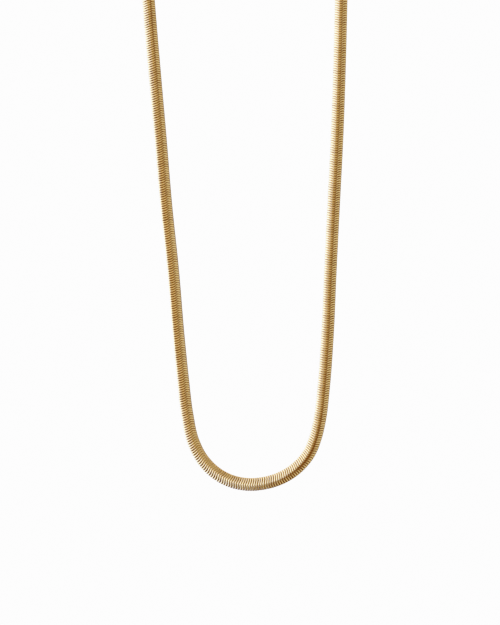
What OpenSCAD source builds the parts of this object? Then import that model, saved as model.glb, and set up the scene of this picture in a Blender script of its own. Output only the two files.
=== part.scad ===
// Snake chain necklace, hanging as a whole loop from the middle of its clasp.
// X runs across the loop, -Y faces the viewer and +Z is up. The origin is the point on the underside
// of the clasp that rests on whatever holds the necklace up.

/* [Chain] */
// Width of the chain, from its inner edge to its outer edge
chain_w = 4; // [3:0.1:5]
// Thickness of the chain, from its front ridge to its back ridge
chain_t = 2.5; // [1.8:0.1:3.4]
// How far each face falls away from its ridge, as a share of half the thickness
ridge_fall = 0.25; // [0:0.05:0.4]

/* [Clasp] */
// Length of the barrel between the two sleeves
barrel_l = 9; // [7:0.5:12]
// Height of the barrel's surface above the sleeves
barrel_rise = 0.4; // [0.2:0.05:0.6]
// Radius of the barrel's rounded corners
corner_r = 0.9; // [0.5:0.1:1.2]
// Length of each sleeve beyond the barrel
sleeve_l = 3.5; // [3.2:0.1:5]
// Wall of each sleeve round the end of the chain
sleeve_wall = 0.5; // [0.4:0.05:0.8]
// Depth to which the end of the chain goes into its sleeve
seat_l = 3; // [2:0.1:3.2]
// Clearance between the end of the chain and its sleeve
fit_gap = 0.1; // [0.05:0.05:0.2]
// Width of the seam between the clasp's two halves
seam_w = 0.4; // [0.2:0.1:0.8]
// Depth of the seam
seam_d = 0.25; // [0.1:0.05:0.35]

/* [Hidden] */
$fn = 64;

sleeve_w = chain_w + 2 * (fit_gap + sleeve_wall);
sleeve_t = chain_t + 2 * (fit_gap + sleeve_wall);
barrel_w = sleeve_w + 2 * barrel_rise;
barrel_t = sleeve_t + 2 * barrel_rise;
clasp_l = barrel_l + 2 * sleeve_l;
crown_z = barrel_w / 2;                     // height of the clasp's axis above the origin
mouth_x = clasp_l / 2;                      // where the chain goes into its sleeve
end_x = mouth_x - seat_l;                   // where the chain ends inside its sleeve

// Route of the chain's middle line, from its left end down round the U and up to its right end.
// Each row is [x, z, roll]: roll turns the front ridge that many degrees towards the inside of the loop.
route = [
    [-end_x, crown_z, 0], [-mouth_x, crown_z, 0], [-16.3, 1.2, 0], [-23.3, -3.5, 0],
    [-28, -10.5, 2], [-29.7, -19, 4], [-29.4, -31, 6],
    [-28.3, -46, 8], [-26.6, -66, 14], [-24.8, -86, 20], [-23.1, -106, 24], [-21, -126, 26],
    [-19.3, -146, 26], [-18, -159, 23], [-16.8, -169, 20], [-14.9, -177.5, 18],
    [-12.5, -182.3, 16], [-8.9, -186.3, 6], [-4.2, -189.1, -4], [1.2, -190.3, -10], [6.6, -189.9, -8],
    [11.8, -188.2, -4], [16.3, -185.2, -2], [19.8, -181, -5], [21.8, -176.1, -10], [23, -171, -13],
    [24.2, -161, -13], [25.3, -146, -12], [26.2, -126, -12], [27.2, -106, -10],
    [28.2, -86, -8], [28.9, -66, -6], [29.4, -46, -6],
    [29.7, -31, -6], [29.8, -19, -3], [28, -10.5, -1],
    [23.3, -3.5, 0], [16.3, 1.2, 0], [mouth_x, crown_z, 0], [end_x, crown_z, 0]
];
rings_per_span = 2;
sides = 12;
gold = [0.83, 0.66, 0.35];

last = len(route) - 1;
function flat(row) = [row[0], row[1]];

// Straight distance between each route point and the next
span = [for (i = [0 : last - 1]) norm(flat(route[i + 1]) - flat(route[i]))];

// Change of each column per millimetre between each route point and the next
rise = [for (i = [0 : last - 1]) (route[i + 1] - route[i]) / span[i]];

// The same at each route point, where the shorter of the two neighbouring spans counts more
slope = [for (i = [0 : last])
    i == 0 ? rise[0]
    : i == last ? rise[last - 1]
    : (rise[i - 1] * span[i] + rise[i] * span[i - 1]) / (span[i - 1] + span[i])];

// Row of the smooth route a share t of the way from route point i to the next, a cubic curve
function along(i, t) =
    (2 * t ^ 3 - 3 * t ^ 2 + 1) * route[i] + (t ^ 3 - 2 * t ^ 2 + t) * span[i] * slope[i]
    + (3 * t ^ 2 - 2 * t ^ 3) * route[i + 1] + (t ^ 3 - t ^ 2) * span[i] * slope[i + 1];

// Unit vector [x, z] along the route at the same place
function heading(i, t) =
    let (d = (6 * t - 6 * t ^ 2) * rise[i] + (3 * t ^ 2 - 4 * t + 1) * slope[i]
        + (3 * t ^ 2 - 2 * t) * slope[i + 1])
    flat(d) / norm(flat(d));

// Cross-section at an angle from the front ridge: [towards the inside of the loop, towards the viewer]
function section(angle) =
    [chain_w / 2 * sin(angle), chain_t / 2 * cos(angle) * (1 - ridge_fall * abs(sin(angle)))];

// One ring of the sweep, a cross-section turned by its roll and set square to the route
function ring(i, t) =
    let (row = along(i, t), ahead = heading(i, t), roll = row[2])
    [for (k = [0 : sides - 1])
        let (p = section(360 * k / sides),
            inward = p[0] * cos(roll) + p[1] * sin(roll),
            forward = p[1] * cos(roll) - p[0] * sin(roll))
        [row[0] - ahead[1] * inward, -forward, row[1] + ahead[0] * inward]];

// The chain's envelope: one closed sweep of the cross-section along the route
module snake_chain() {
    rings = concat(
        [for (i = [0 : last - 1], k = [0 : rings_per_span - 1]) ring(i, k / rings_per_span)],
        [ring(last - 1, 1)]);
    points = [for (r = rings, p = r) p];
    tail = sides * (len(rings) - 1);
    walls = [for (r = [0 : len(rings) - 2], k = [0 : sides - 1])
        let (a = r * sides + k, b = r * sides + (k + 1) % sides)
        each [[a, b, b + sides], [a, b + sides, a + sides]]];
    caps = [[for (k = [sides - 1 : -1 : 0]) k], [for (k = [0 : sides - 1]) tail + k]];
    color(gold) polyhedron(points, concat(walls, caps));
}

// Flat-sided oval with its long side along the first axis
module oval(long, short) {
    square([long - short, short], center = true);
    for (side = [-1, 1]) translate([side * (long - short) / 2, 0]) circle(d = short);
}

// Rectangle with rounded corners
module rounded_plate(long, short, r) {
    square([long - 2 * r, short], center = true);
    square([long, short - 2 * r], center = true);
    for (a = [-1, 1], b = [-1, 1]) translate([a * (long / 2 - r), b * (short / 2 - r)]) circle(r);
}

// Straight bar along X with an upright oval section
module oval_bar(l, upright, deep) {
    rotate([0, 90, 0]) linear_extrude(l, center = true) oval(upright, deep);
}

// Middle of the clasp: an oval bar whose ends are rounded off seen from the front and from above
module barrel() {
    intersection() {
        oval_bar(barrel_l, barrel_w, barrel_t);
        rotate([90, 0, 0]) linear_extrude(barrel_t, center = true)
            rounded_plate(barrel_l, barrel_w, corner_r);
        linear_extrude(barrel_w, center = true) rounded_plate(barrel_l, barrel_t, corner_r);
    }
}

// Plain box clasp: barrel, two sleeves that hold the ends of the chain, and the seam between its halves
module clasp() {
    color(gold) translate([0, 0, crown_z]) difference() {
        union() {
            barrel();
            oval_bar(clasp_l, sleeve_w, sleeve_t);
        }
        for (side = [-1, 1]) translate([side * (mouth_x - seat_l / 2), 0, 0])
            oval_bar(seat_l + 2 * fit_gap, chain_w + 2 * fit_gap, chain_t + 2 * fit_gap);
        difference() {
            oval_bar(seam_w, barrel_w + seam_d, barrel_t + seam_d);
            oval_bar(seam_w, barrel_w - 2 * seam_d, barrel_t - 2 * seam_d);
        }
    }
}

snake_chain();
clasp();
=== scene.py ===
import bpy
import numpy as np
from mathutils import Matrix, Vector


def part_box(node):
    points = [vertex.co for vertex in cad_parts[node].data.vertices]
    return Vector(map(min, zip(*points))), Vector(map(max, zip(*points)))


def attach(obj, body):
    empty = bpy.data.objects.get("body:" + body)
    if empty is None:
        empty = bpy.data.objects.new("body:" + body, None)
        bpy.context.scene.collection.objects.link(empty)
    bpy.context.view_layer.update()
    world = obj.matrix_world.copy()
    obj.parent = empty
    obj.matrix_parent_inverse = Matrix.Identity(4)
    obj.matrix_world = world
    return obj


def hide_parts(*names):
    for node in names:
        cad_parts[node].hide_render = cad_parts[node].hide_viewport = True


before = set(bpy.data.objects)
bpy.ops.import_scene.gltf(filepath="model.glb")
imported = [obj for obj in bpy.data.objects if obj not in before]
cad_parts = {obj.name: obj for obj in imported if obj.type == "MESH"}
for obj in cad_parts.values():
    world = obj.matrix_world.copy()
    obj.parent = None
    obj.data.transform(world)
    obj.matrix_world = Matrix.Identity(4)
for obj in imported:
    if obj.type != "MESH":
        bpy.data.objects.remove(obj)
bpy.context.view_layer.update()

claspLow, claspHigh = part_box("clasp")
chainLow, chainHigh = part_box("snake_chain")
mm = 0.001


# Camera, square to the loop as in the photograph
view = {
    "pixel": 0.30 * mm,            # what one pixel of the 500 x 625 picture covers at the necklace
    "picture": (500, 625),
    "hangPixel": (243, -150),      # where the hang point falls, above the top edge of the picture
    "distance": 1.2,
    "sensor": 36.0,
    "clip": (0.05, 20.0),
}


def makeCamera(look):
    wide, tall = look["picture"]
    camData = bpy.data.cameras.new("camera")
    camData.sensor_width = look["sensor"]
    camData.lens = look["sensor"] * look["distance"] / (tall * look["pixel"])
    camData.clip_start, camData.clip_end = look["clip"]
    cam = bpy.data.objects.new("camera", camData)
    right = (wide / 2 - look["hangPixel"][0]) * look["pixel"]
    down = (tall / 2 - look["hangPixel"][1]) * look["pixel"]
    cam.location = (right, -look["distance"], -down)
    cam.rotation_euler = (np.pi / 2, 0, 0)
    bpy.context.scene.collection.objects.link(cam)
    bpy.context.scene.camera = cam


makeCamera(view)
print("camera set")


# Mesh helpers

def meshFromArrays(name, points, faces):
    mesh = bpy.data.meshes.new(name)
    mesh.vertices.add(len(points))
    mesh.vertices.foreach_set("co", points.ravel())
    mesh.loops.add(faces.size)
    mesh.loops.foreach_set("vertex_index", faces.ravel())
    mesh.polygons.add(len(faces))
    mesh.polygons.foreach_set("loop_start", np.arange(len(faces)) * faces.shape[1])
    mesh.update(calc_edges=True)
    mesh.validate()
    return mesh


def addObject(name, mesh, material):
    mesh.materials.append(material)
    piece = bpy.data.objects.new(name, mesh)
    bpy.context.scene.collection.objects.link(piece)
    return piece


# Material helpers

def addNode(tree, kind, inputs=None, **values):
    node = tree.nodes.new(kind)
    for key, value in values.items():
        setattr(node, key, value)
    for key, value in (inputs or {}).items():
        node.inputs[key].default_value = value
    return node


def newMaterial(name):
    material = bpy.data.materials.new(name)
    material.use_nodes = True
    tree = material.node_tree
    return material, tree, tree.nodes["Principled BSDF"]


def newGroup(name, inputs, outputs):
    group = bpy.data.node_groups.new(name, "ShaderNodeTree")
    for socket, kind in inputs:
        group.interface.new_socket(name=socket, in_out="INPUT", socket_type=kind)
    for socket, kind in outputs:
        group.interface.new_socket(name=socket, in_out="OUTPUT", socket_type=kind)
    return group, addNode(group, "NodeGroupInput"), addNode(group, "NodeGroupOutput")


# Chain
chain = {
    "width": 4.0 * mm,
    "thickness": chainHigh[1] - chainLow[1],
    "ridgeFall": 0.25,         # how far a face falls away from its ridge, as in the CAD section
    "pitch": 0.70 * mm,        # from one link to the next
    "sleeveDepth": 3.0 * mm,   # how far each end goes into the clasp
    "around": 18,              # points round a link
    "rowPlace": (-0.5, -0.22, 0.22, 0.5),    # rows across a link, in pitches from its middle
    "rowSunk": (1.2, 0.0, 0.0, 1.0),         # share of the groove that each row is taken in
    "routeSteps": 40,          # points worked out between two rows of the route
    "wave": 0.34 * mm,         # how far a link's ridge leads its edges
    "waveReach": 0.72,         # share of the half width over which the link slopes back
    "groove": 0.32 * mm,       # depth of the groove between two links
    # share of that depth across a face, from the ridge, at 0, to the edge of the chain, at 1; the painted
    # shade in the grooves follows the same share
    "grooveAcross": ((0, 0.35, 0.7, 0.9, 1), (0.3, 0.65, 1.0, 0.8, 0.1)),
    "overlap": 0.10,           # share of a pitch that a link slips under the one before it
    "jitter": 0.02,            # unevenness of the spacing, in pitches
    "seed": 5,
}
mouthX = (claspHigh[0] - claspLow[0]) / 2 / mm
crownZ = (claspHigh[2] + claspLow[2]) / 2 / mm
endX = mouthX - chain["sleeveDepth"] / mm

# Middle line of the chain in millimetres, from its left end down round the bend and up to its right end.
# Each row is [x, z, roll]; roll turns the front ridge that many degrees towards the inside of the loop.
route = np.array([
    [-endX, crownZ, 0], [-mouthX, crownZ, 0], [-16.3, 1.2, 0], [-23.3, -3.5, 0],
    [-28, -10.5, 2], [-29.7, -19, 4], [-29.4, -31, 6],
    [-28.3, -46, 8], [-26.6, -66, 14], [-24.8, -86, 20], [-23.1, -106, 24], [-21, -126, 26],
    [-19.3, -146, 26], [-18, -159, 23], [-16.8, -169, 20], [-14.9, -177.5, 18],
    [-12.5, -182.3, 16], [-8.9, -186.3, 6], [-4.2, -189.1, -4], [1.2, -190.3, -10], [6.6, -189.9, -8],
    [11.8, -188.2, -4], [16.3, -185.2, -2], [19.8, -181, -5], [21.8, -176.1, -10], [23, -171, -13],
    [24.2, -161, -13], [25.3, -146, -12], [26.2, -126, -12], [27.2, -106, -10],
    [28.2, -86, -8], [28.9, -66, -6], [29.4, -46, -6],
    [29.7, -31, -6], [29.8, -19, -3], [28, -10.5, -1],
    [23.3, -3.5, 0], [16.3, 1.2, 0], [mouthX, crownZ, 0], [endX, crownZ, 0],
])


def smoothRoute(rows, steps):
    # A cubic through the rows: at each row the slope is the mean of its two spans' slopes, and the
    # shorter span counts more. Returns steps points for every span.
    span = np.linalg.norm(np.diff(rows[:, :2], axis=0), axis=1)[:, None]
    rise = np.diff(rows, axis=0) / span
    between = (rise[:-1] * span[1:] + rise[1:] * span[:-1]) / (span[:-1] + span[1:])
    slope = np.vstack([rise[:1], between, rise[-1:]])
    t = np.linspace(0, 1, steps, endpoint=False)[None, :, None]
    start, end = rows[:-1, None], rows[1:, None]
    curve = ((2 * t**3 - 3 * t**2 + 1) * start + (t**3 - 2 * t**2 + t) * (span * slope[:-1])[:, None]
             + (3 * t**2 - 2 * t**3) * end + (t**3 - t**2) * (span * slope[1:])[:, None])
    return np.vstack([curve.reshape(-1, rows.shape[1]), rows[-1:]])


def sectionPoint(angle, size):
    # Flattened oval with a soft ridge: half the width times the sine towards the inside of the loop, and
    # half the thickness times the cosine, less a share that grows with the sine, towards the viewer.
    side = np.sin(angle)
    fallen = np.cos(angle) * (1 - size["ridgeFall"] * np.abs(side))
    return np.stack([size["width"] / 2 * side, size["thickness"] / 2 * fallen], axis=-1)


def linkTemplate(size):
    # One link as a closed band, as rows across the band by points around it. A row is the oval section
    # taken in by that row's inset, and moved along the chain by its share of the pitch plus the wave.
    rowShare = np.array(size["rowPlace"])
    rowShare[0] -= size["overlap"]
    rowInset = np.array(size["rowSunk"]) * size["groove"]
    angle = np.arange(size["around"]) * 2 * np.pi / size["around"]
    step = 1e-4                # radians to either side, for the section's tangent
    rim = sectionPoint(angle, size)
    tangent = sectionPoint(angle + step, size) - sectionPoint(angle - step, size)
    outward = np.stack([-tangent[:, 1], tangent[:, 0]], axis=-1)
    outward /= np.linalg.norm(outward, axis=1)[:, None]
    fromRidge = np.abs(rim[:, 0]) / (size["width"] / 2)
    slopeBack = np.clip(fromRidge / size["waveReach"], 0, 1)
    wave = size["wave"] * (slopeBack**2 * (3 - 2 * slopeBack) - 0.5)
    inset = rowInset[:, None] * np.interp(fromRidge, *size["grooveAcross"])
    placed = rim[None] - inset[..., None] * outward[None]
    along = rowShare[:, None] * size["pitch"] + wave[None]
    return placed, along, inset


def makeChain(size, rows):
    # The link template at every place along the route: its middle, plus its own places along the heading
    # and square to it, where the section is turned by the roll.
    curve = smoothRoute(rows, size["routeSteps"])
    curve[:, :2] *= mm
    ahead = np.gradient(curve[:, :2], axis=0)
    travelled = np.concatenate([[0], np.cumsum(np.linalg.norm(np.diff(curve[:, :2], axis=0), axis=1))])
    count = int(round(travelled[-1] / size["pitch"]))
    draw = np.random.default_rng(size["seed"])
    place = (np.arange(count) + 0.5 + size["jitter"] * draw.standard_normal(count)) * travelled[-1] / count
    centre = np.stack([np.interp(place, travelled, curve[:, k]) for k in (0, 1)], axis=-1)
    heading = np.stack([np.interp(place, travelled, ahead[:, k]) for k in (0, 1)], axis=-1)
    heading /= np.linalg.norm(heading, axis=1)[:, None]
    roll = np.radians(np.interp(place, travelled, curve[:, 2]))[:, None, None]

    section, along, inset = linkTemplate(size)
    inward = section[None, ..., 0] * np.cos(roll) + section[None, ..., 1] * np.sin(roll)
    forward = section[None, ..., 1] * np.cos(roll) - section[None, ..., 0] * np.sin(roll)
    h = heading[:, None, None, :]
    points = np.stack([
        centre[:, None, None, 0] + h[..., 0] * along[None] - h[..., 1] * inward,
        -forward,
        centre[:, None, None, 1] + h[..., 1] * along[None] + h[..., 0] * inward,
    ], axis=-1)

    rowCount, around = along.shape
    row, column = np.meshgrid(np.arange(rowCount), np.arange(around), indexing="ij")
    nextRow, nextColumn = (row + 1) % rowCount, (column + 1) % around
    quad = np.stack([row * around + column, nextRow * around + column,
                     nextRow * around + nextColumn, row * around + nextColumn], axis=-1).reshape(-1, 4)
    perLink = rowCount * around
    faces = (quad[None] + (np.arange(count) * perLink)[:, None, None]).reshape(-1, 4)
    mesh = meshFromArrays("chain_links", points.reshape(-1, 3), faces)

    # Each point's share of the groove depth, stored for the gold material, which paints shade into the
    # grooves between links with it
    depth = np.broadcast_to((inset / size["groove"])[None], points.shape[:3])
    tone = np.broadcast_to(draw.random(count)[:, None, None], points.shape[:3])
    for name, values in (("groove", depth), ("linkTone", tone)):
        stored = mesh.attributes.new(name, "FLOAT", "POINT")
        stored.data.foreach_set("value", values.ravel().astype(np.float32))

    # Shade smooth, but keep both rims of every link sharp
    mesh.polygons.foreach_set("use_smooth", np.ones(len(faces), bool))
    ends = np.empty(len(mesh.edges) * 2, int)
    mesh.edges.foreach_get("vertices", ends)
    ends = ends.reshape(-1, 2) % perLink
    endRow, endColumn = ends // around, ends % around
    sharp = np.zeros(len(ends), bool)
    for k in (0, rowCount - 1):
        sharp |= (endRow == k).all(axis=1)
    mesh.attributes.new("sharp_edge", "BOOLEAN", "EDGE").data.foreach_set("value", sharp)
    print(f"chain: {count} links of {len(quad)} faces, {len(faces) * 2} triangles")
    return mesh


# Gold finishes
goldLook = {
    "bright": (1.0, 0.59, 0.165, 1),    # open, polished metal
    "deep": (0.36, 0.12, 0.025, 1),     # painted shade for the metal in the grooves between links and in the clasp's shoulder corners, also the clasp's dark seam and the darker end of the random tone
    "lacquer": 0.9,
    "lacquerIor": 1.7,
    "lacquerRoughness": 0.03,
    "patchScale": 260,                 # patches about 4 mm across
    "patchDetail": 3.0,
    "grainScale": 5000,                # grain about 0.2 mm across
    "grainDetail": 2.0,
    "grainHeight": 0.02 * mm,
}
linkFinish = {"Patches": 0.25, "Spread": 0.30, "Polish": 0.13, "Dullness": 0.12}
linkGrain = 0.04
claspFinish = {"Patches": 0.30, "Spread": 0.0, "Polish": 0.24, "Dullness": 0.16}
claspGrain = 0.25
claspBrush = (0.03, 1, 1)              # the clasp's grain is drawn out along its length


def makeGoldSurface(look):
    # Wear and shade is the hollow plus soft patches plus the piece's own tone, held between 0 and 1. The
    # hollow part paints shade into the link grooves and the clasp's shoulder corners, and darkens the
    # clasp's seam. The colour goes from bright to the deep tone-and-shade colour with it, and the lacquer
    # thins with it. The roughness rises with it and with the grain, and the grain is the height.
    scalars = ("Hollow", "Tone", "Patches", "Spread", "Polish", "Dullness", "Lacquer")
    group, source, result = newGroup(
        "goldSurface",
        [("Place", "NodeSocketVector"), ("Grain Place", "NodeSocketVector"), ("Bright", "NodeSocketColor"),
         ("Deep Tone And Shade", "NodeSocketColor")] + [(key, "NodeSocketFloat") for key in scalars],
        [("Colour", "NodeSocketColor"), ("Roughness", "NodeSocketFloat"), ("Lacquer", "NodeSocketFloat"),
         ("Height", "NodeSocketFloat")])
    link = group.links.new

    def noise(place, scale, detail):
        spots = addNode(group, "ShaderNodeTexNoise", {"Scale": scale, "Detail": detail})
        link(source.outputs[place], spots.inputs["Vector"])
        return spots.outputs["Fac"]

    def scaledFromMiddle(value, amount):
        middle = addNode(group, "ShaderNodeMath", {1: 0.5}, operation="SUBTRACT")
        link(value, middle.inputs[0])
        scaled = addNode(group, "ShaderNodeMath", operation="MULTIPLY")
        link(middle.outputs[0], scaled.inputs[0])
        link(amount, scaled.inputs[1])
        return scaled.outputs[0]

    def addUp(first, second, clamp=False):
        total = addNode(group, "ShaderNodeMath", operation="ADD", use_clamp=clamp)
        link(first, total.inputs[0])
        link(second, total.inputs[1])
        return total.outputs[0]

    patch = noise("Place", look["patchScale"], look["patchDetail"])
    grain = noise("Grain Place", look["grainScale"], look["grainDetail"])
    patches = scaledFromMiddle(patch, source.outputs["Patches"])
    tone = scaledFromMiddle(source.outputs["Tone"], source.outputs["Spread"])
    wearAndShade = addUp(source.outputs["Hollow"], addUp(patches, tone), clamp=True)
    colour = addNode(group, "ShaderNodeMix", data_type="RGBA")
    link(wearAndShade, colour.inputs["Factor"])
    link(source.outputs["Bright"], colour.inputs["A"])
    link(source.outputs["Deep Tone And Shade"], colour.inputs["B"])
    link(colour.outputs["Result"], result.inputs["Colour"])
    uneven = scaledFromMiddle(addUp(wearAndShade, grain), source.outputs["Dullness"])
    link(addUp(source.outputs["Polish"], uneven), result.inputs["Roughness"])
    unwornUnshaded = addNode(group, "ShaderNodeMath", {0: 1.0}, operation="SUBTRACT")
    link(wearAndShade, unwornUnshaded.inputs[1])
    lacquer = addNode(group, "ShaderNodeMath", operation="MULTIPLY")
    link(unwornUnshaded.outputs[0], lacquer.inputs[0])
    link(source.outputs["Lacquer"], lacquer.inputs[1])
    link(lacquer.outputs[0], result.inputs["Lacquer"])
    link(grain, result.inputs["Height"])
    return group


goldSurface = makeGoldSurface(goldLook)


def goldMaterial(name, look, finish, grainDepth, stretch, hollow, tone=None):
    # hollow(tree) returns the socket that says how deep in a hollow a point lies; the gold darkens with it
    # as painted shade in the link grooves and the clasp's shoulder corners, and as the clasp's dark seam
    material, tree, shader = newMaterial(name)
    link = tree.links.new
    surface = addNode(tree, "ShaderNodeGroup", node_tree=goldSurface)
    for key, value in finish.items():
        surface.inputs[key].default_value = value
    surface.inputs["Bright"].default_value = look["bright"]
    surface.inputs["Deep Tone And Shade"].default_value = look["deep"]
    surface.inputs["Tone"].default_value = 0.5
    surface.inputs["Lacquer"].default_value = look["lacquer"]
    place = addNode(tree, "ShaderNodeTexCoord")
    stretched = addNode(tree, "ShaderNodeMapping", {"Scale": stretch})
    link(place.outputs["Object"], surface.inputs["Place"])
    link(place.outputs["Object"], stretched.inputs["Vector"])
    link(stretched.outputs["Vector"], surface.inputs["Grain Place"])
    link(hollow(tree, place.outputs["Object"]), surface.inputs["Hollow"])
    if tone:
        ownTone = addNode(tree, "ShaderNodeAttribute", attribute_name=tone)
        link(ownTone.outputs["Fac"], surface.inputs["Tone"])
    bump = addNode(tree, "ShaderNodeBump", {"Strength": grainDepth, "Distance": look["grainHeight"]})
    link(surface.outputs["Height"], bump.inputs["Height"])
    link(surface.outputs["Colour"], shader.inputs["Base Color"])
    link(surface.outputs["Roughness"], shader.inputs["Roughness"])
    link(bump.outputs["Normal"], shader.inputs["Normal"])
    shader.inputs["Metallic"].default_value = 1.0
    link(surface.outputs["Lacquer"], shader.inputs["Coat Weight"])
    shader.inputs["Coat IOR"].default_value = look["lacquerIor"]
    shader.inputs["Coat Roughness"].default_value = look["lacquerRoughness"]
    return material


def linkHollow(tree, place):
    # The groove depth share, which the gold turns into painted shade between the links
    return addNode(tree, "ShaderNodeAttribute", attribute_name="groove").outputs["Fac"]


linkMaterial = goldMaterial(
    "polished_links", goldLook, linkFinish, linkGrain, (1, 1, 1), linkHollow, "linkTone")
chainPiece = addObject("chain_links", makeChain(chain, route), linkMaterial)
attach(chainPiece, "root")
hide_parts("snake_chain")


# Clasp
claspForm = {
    "seamHalf": 0.3 * mm,      # half the width of the dark line round the middle
    "shoulder": 4.5 * mm,      # where the barrel steps down to a sleeve
    "shoulderSoft": 0.45 * mm, # how far the painted shade in each shoulder corner fades to either side
}


def claspHollow(tree, place):
    # Dark in the seam, a dark joint, and painted shade in the corner at each shoulder: one minus the
    # distance along the clasp from the seam, or from the shoulder, over the mark's half width, and the
    # larger of the two.
    link = tree.links.new
    split = addNode(tree, "ShaderNodeSeparateXYZ")
    link(place, split.inputs[0])
    along = addNode(tree, "ShaderNodeMath", operation="ABSOLUTE")
    link(split.outputs["X"], along.inputs[0])

    def mark(middle, half):
        away = addNode(tree, "ShaderNodeMath", {1: middle}, operation="SUBTRACT")
        link(along.outputs[0], away.inputs[0])
        size = addNode(tree, "ShaderNodeMath", operation="ABSOLUTE")
        link(away.outputs[0], size.inputs[0])
        fade = addNode(tree, "ShaderNodeMapRange", {"From Min": half, "From Max": 0.0, "To Max": 1.0})
        link(size.outputs[0], fade.inputs["Value"])
        return fade.outputs["Result"]

    larger = addNode(tree, "ShaderNodeMath", operation="MAXIMUM")
    link(mark(0.0, claspForm["seamHalf"]), larger.inputs[0])
    link(mark(claspForm["shoulder"], claspForm["shoulderSoft"]), larger.inputs[1])
    return larger.outputs[0]


claspPiece = bpy.data.objects["clasp"]
claspPiece.data.materials.clear()
claspPiece.data.materials.append(
    goldMaterial("satin_clasp", goldLook, claspFinish, claspGrain, claspBrush, claspHollow))
print("clasp finished")


# Floor and light
studio = {
    "floorBelow": 1.2,         # from the lowest link down to the floor
    "floorHalf": 8.0,          # half its side
    "floorLight": (0.83, 0.82, 0.81, 1),
    "floorDark": (0.79, 0.78, 0.77, 1),
    "driftScale": 3,           # soft patches 30 cm across
    "driftDetail": 3.0,
    "toothScale": 250,         # fine tooth of the paint
    "toothDetail": 1.0,
    "toothDepth": 0.2 * mm,
    "sheen": (0.80, 0.95),     # roughness of the dark patches and of the light ones
    "floorLamp": 7.2,          # a wide overhead light for the floor alone
    "floorLampAngle": 120,     # how wide it looks from the floor, in degrees
    "back": 1.95,              # what the camera sees behind the necklace
    "fill": (0.22, 0.12, 0.04),    # light from everywhere
    "colours": {"blue": (0.60, 0.95, 1.95), "cool": (0.85, 1.1, 1.25), "day": (0.92, 1.05, 1.1),
                "soft": (1.0, 1.04, 0.9)},
    # soft boxes that the metal reflects: azimuth from the camera to the right, elevation, the angles
    # within which the box is full and beyond which it is dark, its brightness and its colour
    "boxes": (
        (-96, 3, 40, 76, 3.2, "blue"),
        (-15, 6, 12, 44, 0.6, "soft"),
        (-12, 64, 22, 48, 0.7, "day"),
        (93, -20, 20, 52, 0.9, "cool"),
        (175, 48, 20, 50, 1.1, "day"),
    ),
}


def makeFloor(look):
    # A painted floor well below the necklace
    half, level = look["floorHalf"], chainLow[2] - look["floorBelow"]
    corner = np.array([[-half, -half, level], [half, -half, level],
                       [half, half, level], [-half, half, level]])
    material, tree, shader = newMaterial("floor")
    link = tree.links.new
    place = addNode(tree, "ShaderNodeTexCoord")
    drift = addNode(tree, "ShaderNodeTexNoise", {"Scale": look["driftScale"], "Detail": look["driftDetail"]})
    tooth = addNode(tree, "ShaderNodeTexNoise", {"Scale": look["toothScale"], "Detail": look["toothDetail"]})
    link(place.outputs["Object"], drift.inputs["Vector"])
    link(place.outputs["Object"], tooth.inputs["Vector"])
    colour = addNode(tree, "ShaderNodeMix", {"A": look["floorDark"], "B": look["floorLight"]},
                     data_type="RGBA")
    link(drift.outputs["Fac"], colour.inputs["Factor"])
    link(colour.outputs["Result"], shader.inputs["Base Color"])
    dull = addNode(tree, "ShaderNodeMapRange", {"To Min": look["sheen"][0], "To Max": look["sheen"][1]})
    link(drift.outputs["Fac"], dull.inputs["Value"])
    link(dull.outputs["Result"], shader.inputs["Roughness"])
    bump = addNode(tree, "ShaderNodeBump", {"Distance": look["toothDepth"]})
    link(tooth.outputs["Fac"], bump.inputs["Height"])
    link(bump.outputs["Normal"], shader.inputs["Normal"])
    floor = addObject("floor", meshFromArrays("floor", corner, np.array([[0, 1, 2, 3]])), material)
    floor.visible_glossy = False


def makeFloorLamp(look):
    # The metal doesn't reflect this lamp
    lampData = bpy.data.lights.new("floorLamp", "SUN")
    lampData.energy = look["floorLamp"]
    lampData.angle = np.radians(look["floorLampAngle"])
    lamp = bpy.data.objects.new("floorLamp", lampData)
    lamp.visible_glossy = False
    bpy.context.scene.collection.objects.link(lamp)


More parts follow.
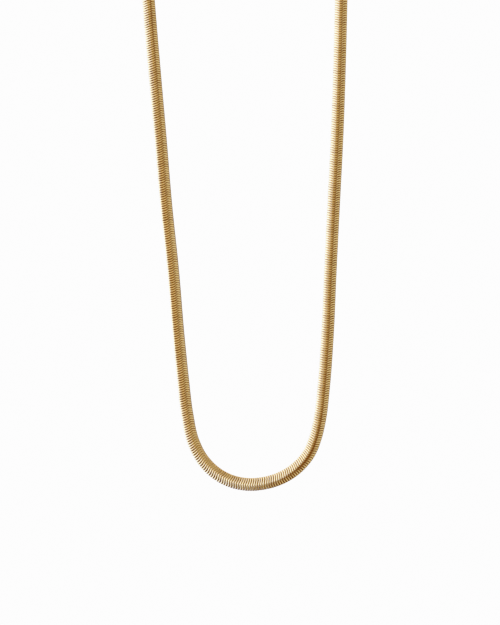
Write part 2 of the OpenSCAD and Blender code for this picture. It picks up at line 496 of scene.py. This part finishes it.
def makeWorld(look):
    # Each soft box is full within its inner angle, dark beyond its outer one and smooth between them, times
    # its strength and colour. The boxes and the fill add up to what the metal reflects. The camera sees the
    # plain back instead, and the floor is left to its own lamp.
    world = bpy.data.worlds.new("studio")
    bpy.context.scene.world = world
    world.cycles_visibility.diffuse = False
    world.use_nodes = True
    tree = world.node_tree
    link = tree.links.new
    background = tree.nodes["Background"]
    coords = addNode(tree, "ShaderNodeTexCoord")
    total = None
    for azimuth, elevation, full, dark, strength, colour in look["boxes"]:
        turn, lift = np.radians(azimuth), np.radians(elevation)
        towards = (np.sin(turn) * np.cos(lift), -np.cos(turn) * np.cos(lift), np.sin(lift))
        dot = addNode(tree, "ShaderNodeVectorMath", {1: towards}, operation="DOT_PRODUCT")
        link(coords.outputs["Generated"], dot.inputs[0])
        ramp = addNode(tree, "ShaderNodeMapRange", {
            "From Min": np.cos(np.radians(dark)), "From Max": np.cos(np.radians(full)), "To Max": strength,
        }, interpolation_type="SMOOTHSTEP")
        link(dot.outputs["Value"], ramp.inputs["Value"])
        add = addNode(tree, "ShaderNodeVectorMath", {1: look["colours"][colour], 2: look["fill"]},
                      operation="MULTIPLY_ADD")
        link(ramp.outputs["Result"], add.inputs[0])
        if total:
            link(total, add.inputs[2])
        total = add.outputs["Vector"]
    path = addNode(tree, "ShaderNodeLightPath")
    pick = addNode(tree, "ShaderNodeMix", {"B": (look["back"],) * 3 + (1,)}, data_type="RGBA")
    link(path.outputs["Is Camera Ray"], pick.inputs["Factor"])
    link(total, pick.inputs["A"])
    link(pick.outputs["Result"], background.inputs["Color"])


picture = {
    "white": 2.2,              # scene brightness that shows as white
    # soft shoulder, as shares of that brightness and of full white
    "shoulder": ((0.135, 0.27), (0.27, 0.47), (0.455, 0.70), (0.635, 0.87), (0.82, 0.96)),
}


def gradePicture(look):
    # Highlights roll off to white instead of clipping
    grade = bpy.context.scene.view_settings
    grade.view_transform = "Standard"
    grade.use_curve_mapping = True
    mapping = grade.curve_mapping
    mapping.white_level = (look["white"],) * 3
    for x, y in look["shoulder"]:
        mapping.curves[3].points.new(x, y)
    mapping.update()


makeFloor(studio)
makeFloorLamp(studio)
makeWorld(studio)
gradePicture(picture)
print("floor and light set")
